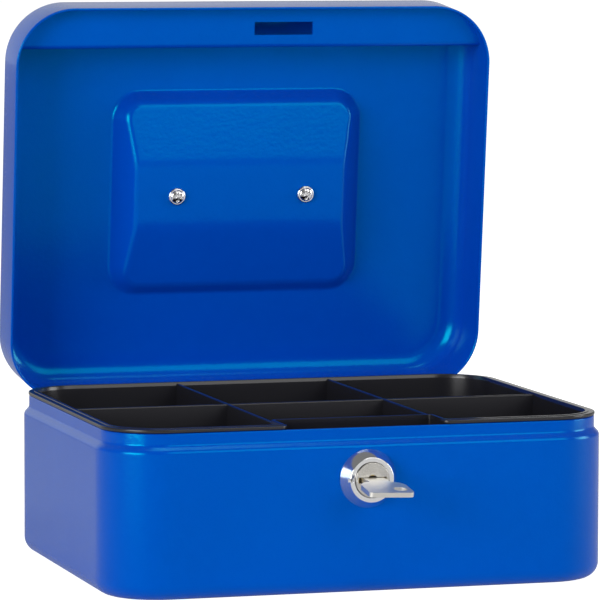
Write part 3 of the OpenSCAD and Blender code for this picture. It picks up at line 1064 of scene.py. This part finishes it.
@dataclass
class CoinTray:
    """Thin moulded tray: a pan with a notch at the front, a flange that sits on the neck, and dividers."""

    half: tuple[float, float] = (95.8, 75.8)
    corner_radius: float = 19.8
    wall: float = 1.6
    flange_reach: float = 2.4
    flange: float = 1.3
    bead: float = 0.25
    notch_half: float = 31.2
    notch_back: float = -60.0
    notch_radius: float = 3.0
    notch_foot_radius: float = 1.2
    foot_radius: float = 3.0
    draft: float = 0.5
    column: float = 32.0
    divider_drop: float = 0.4
    box: np.ndarray = field(default_factory=lambda: node_box("coin_tray"))

    def outline(self) -> Outline:
        """Outline of the pan with its notch at the front.

        Returns:
            The outline.
        """
        x, y = self.half[0] - self.corner_radius, self.half[1] - self.corner_radius
        side, foot = self.notch_half + self.notch_radius, self.notch_half - self.notch_foot_radius
        front, back = -self.half[1] + self.notch_radius, self.notch_back - self.notch_foot_radius
        big, small, inner = self.corner_radius, self.notch_radius, self.notch_foot_radius
        return Outline.through([
            Corner(x, -y, big, -90), Corner(x, y, big, 0), Corner(-x, y, big, 90), Corner(-x, -y, big, 180),
            Corner(-side, front, small, -90), Corner(-foot, back, inner, 180, inward=True),
            Corner(foot, back, inner, 90, inward=True), Corner(side, front, small, 180)], 20, 2.0)

    def build_pan(self) -> bpy.types.Object:
        """Sweeps the wall round the outline; the flange fades out at the notch.

        Returns:
            The pan.
        """
        low, high = self.box[0, 2], self.box[1, 2] - self.bead
        outline = self.outline()
        inner_foot = self.foot_radius - self.wall
        section = eased_path([
            (-self.foot_radius - 1, low, 0), (-self.draft, low, self.foot_radius),
            (0, high - self.flange, 0.15), (self.flange_reach, high - self.flange, 0.35),
            (self.flange_reach, high, 0.35), (0.15, high, 0.12), (0, high + self.bead, 0.18),
            (-1.25, high + self.bead, 0.3), (-self.wall, high - 1.2, 0.5),
            (-self.wall - 0.3, low + self.wall, inner_foot), (-self.foot_radius - 1, low + self.wall, 0)], steps=5)
        grid = outline.swept(section)
        x, y = outline.points.T
        at_notch = (np.abs(x) < self.notch_half + self.notch_radius) & (y < 0)
        depth_in = np.clip((y + self.half[1]) / self.notch_radius, 0, 1)
        fade = np.where(at_notch, 1 - depth_in, 1.0)
        reach = np.maximum(section[:, 0], 0)[:, None, None]
        grid[..., :2] -= outline.outward[None] * reach * (1 - fade)[None, :, None]
        surface = Surface()
        number = surface.add_grid(grid)
        surface.add_face(number[0])
        surface.add_face(number[-1])
        return surface.made("coin_tray.pan", math.radians(40))

    def divider(self, surface: Surface, start: Sequence[float], end: Sequence[float]) -> None:
        """Adds one divider: a thin wall with a rounded top, wider at its foot.

        The section is a closed path with half its thickness at each height, carried from start to end.

        Args:
            surface: The surface to add to.
            start: Plan point where it starts, inside a wall.
            end: Plan point where it ends, inside a wall.
        """
        low, high = self.box[0, 2] + 0.5 * self.wall, self.box[1, 2] - self.bead - self.divider_drop
        half_top, half_foot = 0.62, self.wall / 2
        section = eased_path([(half_foot, low, 0), (half_top, high, 0.5), (-half_top, high, 0.5),
                              (-half_foot, low, 0)], steps=5)
        start, end = np.array(start, float), np.array(end, float)
        along = (end - start) / np.linalg.norm(end - start)
        across = np.array([-along[1], along[0]])
        ends = np.stack([start, end])
        plan = ends[:, None] + section[None, :, :1] * across
        height = np.broadcast_to(section[None, :, 1:], plan.shape[:2] + (1,))
        number = surface.add_grid(np.concatenate([plan, height], axis=2))
        surface.add_face(number[0])
        surface.add_face(number[1])

    def build(self) -> None:
        """Makes the pan and its dividers and joins them into one piece."""
        pan = self.build_pan()
        surface = Surface()
        reach_x, reach_y = self.half[0] - 0.9, self.half[1] - 0.9
        for side in (-1, 1):
            self.divider(surface, (side * self.column, -reach_y), (side * self.column, reach_y))
        self.divider(surface, (-reach_x, 0), (reach_x, 0))
        dividers = surface.made("coin_tray.dividers")
        shape = bmesh.new()
        shape.from_mesh(pan.data)
        shape.from_mesh(dividers.data)
        shape.to_mesh(pan.data)
        shape.free()
        bpy.data.objects.remove(dividers)
        pan.name = "coin_tray.finished"
        pan.data.set_sharp_from_angle(angle=math.radians(40))
        placed(pan, "tray", Slot.TRAY_PLASTIC, "coin_tray")


# ---------- lock ----------


@dataclass
class CylinderLock:
    """Cylinder lock: chrome bezel, housing and nut in the wall, plug with its wafers and hook, and the key."""

    bezel_ease: float = 0.35
    fine_ease: float = 0.14
    part_ease: float = 0.2

    def build(self) -> None:
        """Eases each turned or pressed part and gives the wafers their finish."""
        placed(eased_copy("lock_bezel", self.bezel_ease, 3), "base", Slot.BRIGHT_CHROME, "lock_bezel")
        placed(eased_copy("lock_housing", self.part_ease), "base", Slot.ZINC_PLATE, "lock_housing")
        placed(eased_copy("lock_nut", self.part_ease), "base", Slot.ZINC_PLATE, "lock_nut")
        placed(eased_copy("lock_plug", self.fine_ease), "plug", Slot.NICKEL, "lock_plug")
        placed(eased_copy("lock_cam", self.part_ease), "plug", Slot.ZINC_PLATE, "lock_cam")
        placed(eased_copy("cam_screw", self.part_ease), "plug", Slot.ZINC_PLATE, "cam_screw")
        placed(eased_copy("door_key", 0.3, 3), "key", Slot.KEY_NICKEL, "door_key")
        wafers = frame["nodes"]["wafer_tumblers"]
        wafers.data.materials.clear()
        wafers.data.materials.append(finish_of(Slot.TUMBLER_BRASS))
        log.info("wafer_tumblers keep their CAD shape")


# ---------- handle ----------


@dataclass
class CarryHandle:
    """Folding handle: bent bar, two posts and the two screws that hold them from inside the lid."""

    post_spacing: float = 55.0
    head_radius: float = 3.6
    head_rise: float = 2.3
    rim_rise: float = 1.3
    dome_radius: float = 2.75
    shank_radius: float = 1.75
    cross_width: float = 1.1
    cross_length: float = 4.3
    cross_depth: float = 1.3
    inner_level: float = 75.0
    shank_top: float = 78.5

    def head_height(self, plan: np.ndarray) -> np.ndarray:
        """Height of a screw head above the panel: a dome inside a flat rim, less a cross recess with sloping walls.

        Args:
            plan: Points about the screw's axis.

        Returns:
            Height at each point.
        """
        radius = np.hypot(plan[..., 0], plan[..., 1])
        share = np.clip(radius / self.dome_radius, 0, 1)
        dome = self.rim_rise + (self.head_rise - self.rim_rise) * np.sqrt(1 - share ** 2)
        dome -= 0.5 * np.clip((radius - self.head_radius) / 0.5 + 1, 0, 1) ** 2
        x, y = np.abs(plan[..., 0]), np.abs(plan[..., 1])
        arms = np.maximum(np.minimum(x, y) - self.cross_width / 2, np.maximum(x, y) - self.cross_length / 2)
        sunk = self.cross_depth * np.clip(-arms / 0.3, 0, 1)
        return dome - sunk

    def build_screws(self) -> bpy.types.Object:
        """Makes both screws: head as a polar height field, then a shank through the panel.

        Returns:
            The finished piece.
        """
        angle = np.linspace(0, 2 * math.pi, 96, endpoint=False)
        ray = np.column_stack([np.cos(angle), np.sin(angle)])
        radii = np.linspace(0.04, 1, 40) * self.head_radius
        plan = radii[:, None, None] * ray[None]
        head = np.concatenate([plan, (self.inner_level - self.head_height(plan))[..., None]], axis=2)
        edge = np.array([(self.head_radius, self.inner_level - 0.7), (self.head_radius, self.inner_level),
                         (self.shank_radius, self.inner_level), (self.shank_radius, self.shank_top)])
        side = np.concatenate([edge[:, :1, None] * ray[None],
                               np.broadcast_to(edge[:, 1:, None], (len(edge), len(ray), 1))], axis=2)
        grid = np.concatenate([head, side])
        surface = Surface()
        for place in (-1, 1):
            at = grid + np.array([place * self.post_spacing / 2, 0, 0])
            number = surface.add_grid(opened(at))
            surface.add_face(number[0])
            surface.add_face(number[-1])
        return placed(surface.made("handle_screws.finished", math.radians(40)), "lid", Slot.BRIGHT_CHROME,
                      "handle_screws")

    def build(self) -> None:
        """Builds the screws and eases the posts and the bar."""
        self.build_screws()
        for side in ("left", "right"):
            placed(eased_copy(f"{side}_handle_post", 0.3, 3), "lid", Slot.HANDLE_CHROME, f"{side}_handle_post")
        placed(eased_copy("handle_bail", 0.2), "handle", Slot.HANDLE_CHROME, "handle_bail")


# ---------- studio ----------


@dataclass(frozen=True)
class Softbox:
    """Soft rectangular light: its place, the point it faces, its size in metres and its brightness."""

    name: str
    place: tuple[float, float, float]
    target: tuple[float, float, float]
    size: tuple[float, float]
    brightness: float

    def build(self) -> None:
        """Makes the light; a brightness of 1 shows as white in a mirror: power = pi * area * brightness."""
        light = bpy.data.lights.new(self.name, "AREA")
        light.shape = "RECTANGLE"
        light.size, light.size_y = self.size
        light.energy = math.pi * self.size[0] * self.size[1] * self.brightness
        lamp = bpy.data.objects.new(self.name, light)
        ahead = Vector(self.target) - Vector(self.place)
        turn = ahead.to_track_quat("-Z", "Y").to_matrix().to_4x4()
        lamp.matrix_world = Matrix.Translation(self.place) @ turn
        bpy.context.scene.collection.objects.link(lamp)


@dataclass
class Studio:
    """Pale floor, white surround, soft lights and the camera."""

    camera_place: tuple[float, float, float] = (-0.5104461, -1.6732197, 0.2660261)
    yaw: float = 0.29458506
    pitch: float = 0.09235695
    roll: float = 0.00216172
    lens: float = 268.668
    floor_half: float = 6.0
    floor_white: float = 0.85
    floor_glow: float = 0.12
    surround: float = 0.2
    backdrop: float = 0.75
    backdrop_edge: tuple[float, float] = (0.72, 0.9)
    lights: tuple[Softbox, ...] = (
        Softbox("top_light", (0.05, -0.3, 1.6), (0.0, 0.0, 0.1), (0.7, 0.5), 2.6),
        Softbox("front_light", (0.65, -1.45, 0.85), (0.0, 0.0, 0.1), (1.0, 1.0), 2.4),
        Softbox("left_light", (-1.6, -1.0, 0.45), (0.0, 0.0, 0.1), (1.1, 0.85), 9.0),
        Softbox("right_light", (1.75, -0.5, 0.45), (0.0, 0.0, 0.1), (0.8, 0.85), 6.0),
    )

    def build_camera(self) -> None:
        """Makes the camera from its place, yaw to the right, pitch down and roll."""
        ahead = Vector((math.sin(self.yaw) * math.cos(self.pitch),
                        math.cos(self.yaw) * math.cos(self.pitch), -math.sin(self.pitch)))
        right = Vector((math.cos(self.yaw), -math.sin(self.yaw), 0))
        up = right.cross(ahead)
        c, s = math.cos(self.roll), math.sin(self.roll)
        columns = (right * c + up * s, up * c - right * s, -ahead)
        camera = bpy.data.cameras.new("camera")
        camera.lens = self.lens
        camera.sensor_width = 36.0
        camera.clip_end = 100.0
        stand = bpy.data.objects.new("camera", camera)
        stand.matrix_world = Matrix.Translation(self.camera_place) @ Matrix(columns).transposed().to_4x4()
        bpy.context.scene.collection.objects.link(stand)
        bpy.context.scene.camera = stand

    def build_floor(self) -> None:
        """Makes the pale floor with a faint unevenness."""
        surface = Surface()
        side = np.linspace(-self.floor_half, self.floor_half, 3) / MM
        across, along = np.meshgrid(side, side)
        surface.add_grid(np.stack([across, along, np.zeros_like(across)], axis=2), closed_rows=False)
        floor = surface.made("floor")
        material = bpy.data.materials.new("floor_paper")
        material.use_nodes = True
        nodes = NodeTree(material.node_tree)
        shader = material.node_tree.nodes["Principled BSDF"]
        place = nodes.add("ShaderNodeTexCoord").outputs["Object"]
        tone = nodes.spread(nodes.noise(place, 3.0), 0.3, 0.7, 0.7, 0.74)
        nodes.tree.links.new(nodes.add("ShaderNodeCombineColor", {0: tone, 1: tone, 2: tone}).outputs[0],
                             shader.inputs["Base Color"])
        shader.inputs["Roughness"].default_value = 0.9
        shader.inputs["Specular IOR Level"].default_value = 0.0
        shader.inputs["Emission Color"].default_value = (*WHITE, 1.0)
        seen = nodes.add("ShaderNodeLightPath").outputs["Is Camera Ray"]
        nodes.tree.links.new(nodes.math("MULTIPLY_ADD", seen, self.floor_white, self.floor_glow),
                             shader.inputs["Emission Strength"])
        floor.data.materials.append(material)

    def build_surround(self) -> None:
        """Makes the world: plain white to the camera, softer white as a light."""
        world = bpy.data.worlds.new("surround")
        world.use_nodes = True
        world.node_tree.nodes.clear()
        nodes = NodeTree(world.node_tree)
        seen = nodes.add("ShaderNodeLightPath").outputs["Is Camera Ray"]
        direction = nodes.add("ShaderNodeTexCoord").outputs["Generated"]
        back = nodes.add("ShaderNodeSeparateXYZ", {0: direction}).outputs["Y"]
        around = nodes.spread(back, *self.backdrop_edge, self.surround, self.backdrop)
        strength = nodes.math("MAXIMUM", around, nodes.math("MULTIPLY", seen, 1.05))
        shade = nodes.add("ShaderNodeBackground", {"Color": (*WHITE, 1.0), "Strength": strength})
        nodes.add("ShaderNodeOutputWorld", {"Surface": shade.outputs[0]})
        bpy.context.scene.world = world

    def build(self) -> None:
        """Builds the whole studio."""
        bpy.context.scene.view_settings.view_transform = "Standard"
        self.build_camera()
        self.build_floor()
        self.build_surround()
        for light in self.lights:
            light.build()
        log.info("studio: %d soft lights", len(self.lights))


def main() -> None:
    """Builds the sub-assemblies and the studio in order."""
    logging.basicConfig(level=logging.INFO, format="%(name)s: %(message)s")
    Studio().build()
    Body().build()
    Lid().build()
    Hinges().build()
    CoinTray().build()
    CylinderLock().build()
    CarryHandle().build()


if __name__ == "__main__":
    main()
